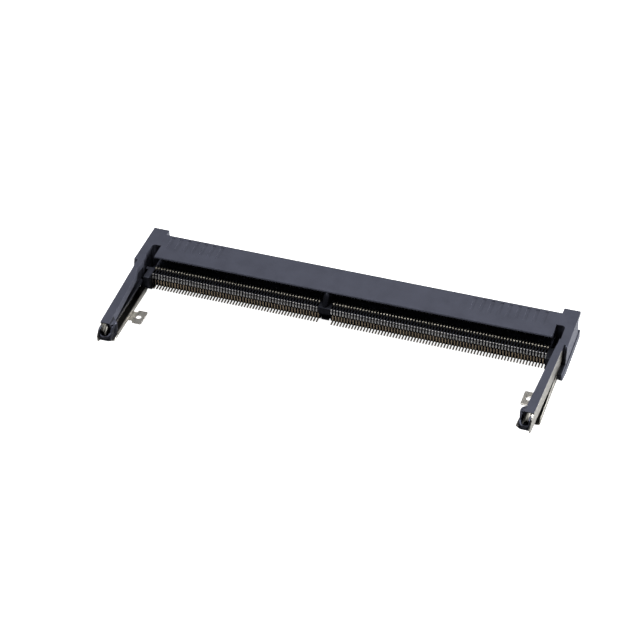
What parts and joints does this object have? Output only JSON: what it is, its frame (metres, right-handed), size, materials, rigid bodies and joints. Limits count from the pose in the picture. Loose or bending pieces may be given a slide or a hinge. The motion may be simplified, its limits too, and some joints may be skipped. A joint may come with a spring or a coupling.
{
  "type": "sodimm socket",
  "caption": "Low right-angle edge-card socket for a small-outline memory module, with a keyed contact slot and two sprung side latch arms with metal backs.",
  "frame": {"origin": "on the face of the board, under the housing, in the middle of the contact field along X and on the line through the two locating pegs", "axes": "+Z away from the board, +X along the socket, and the module goes in from -Y and lies between the arms, which reach towards -Y"},
  "size_m": [0.0734, 0.0277, 0.0062],
  "materials": {
    "housing_plastic": "fine matte, dark blue-grey glass-filled moulding",
    "arm_plastic": "fine matte, the same moulding compound as the housing",
    "latch_metal": "tin-plated spring steel, satin",
    "hold_down_metal": "tin-plated steel, satin",
    "contact_metal": "copper alloy, gold on the contact spots and tin on the tails"
  },
  "bodies": {
    "socket": {"housing": "housing_plastic", "hold_down_left": "hold_down_metal", "hold_down_right": "hold_down_metal", "lower_contacts_01": "contact_metal", "lower_contacts_02": "contact_metal", "lower_contacts_03": "contact_metal", "lower_contacts_04": "contact_metal", "lower_contacts_05": "contact_metal", "lower_contacts_06": "contact_metal", "lower_contacts_07": "contact_metal", "lower_contacts_08": "contact_metal", "lower_contacts_09": "contact_metal", "lower_contacts_10": "contact_metal", "lower_contacts_11": "contact_metal", "upper_contacts_01": "contact_metal", "upper_contacts_02": "contact_metal", "upper_contacts_03": "contact_metal", "upper_contacts_04": "contact_metal", "upper_contacts_05": "contact_metal", "upper_contacts_06": "contact_metal", "upper_contacts_07": "contact_metal", "upper_contacts_08": "contact_metal", "upper_contacts_09": "contact_metal", "upper_contacts_10": "contact_metal", "upper_contacts_11": "contact_metal"},
    "left_latch": {"latch_arm_left": "arm_plastic", "latch_spring_left": "latch_metal"},
    "right_latch": {"latch_arm_right": "arm_plastic", "latch_spring_right": "latch_metal"}
  },
  "joints": [
    {"name": "left_latch_flex", "type": "hinge", "parent": "socket", "child": "left_latch", "pos_m": [-0.03545, -0.0054, 0.0036], "axis": [0, 0, -1], "range_deg": [0, 5.5], "stiffness_Nm_per_rad": 0.5},
    {"name": "right_latch_flex", "type": "hinge", "parent": "socket", "child": "right_latch", "pos_m": [0.03545, -0.0054, 0.0036], "axis": [0, 0, 1], "range_deg": [0, 5.5], "stiffness_Nm_per_rad": 0.5}
  ]
}
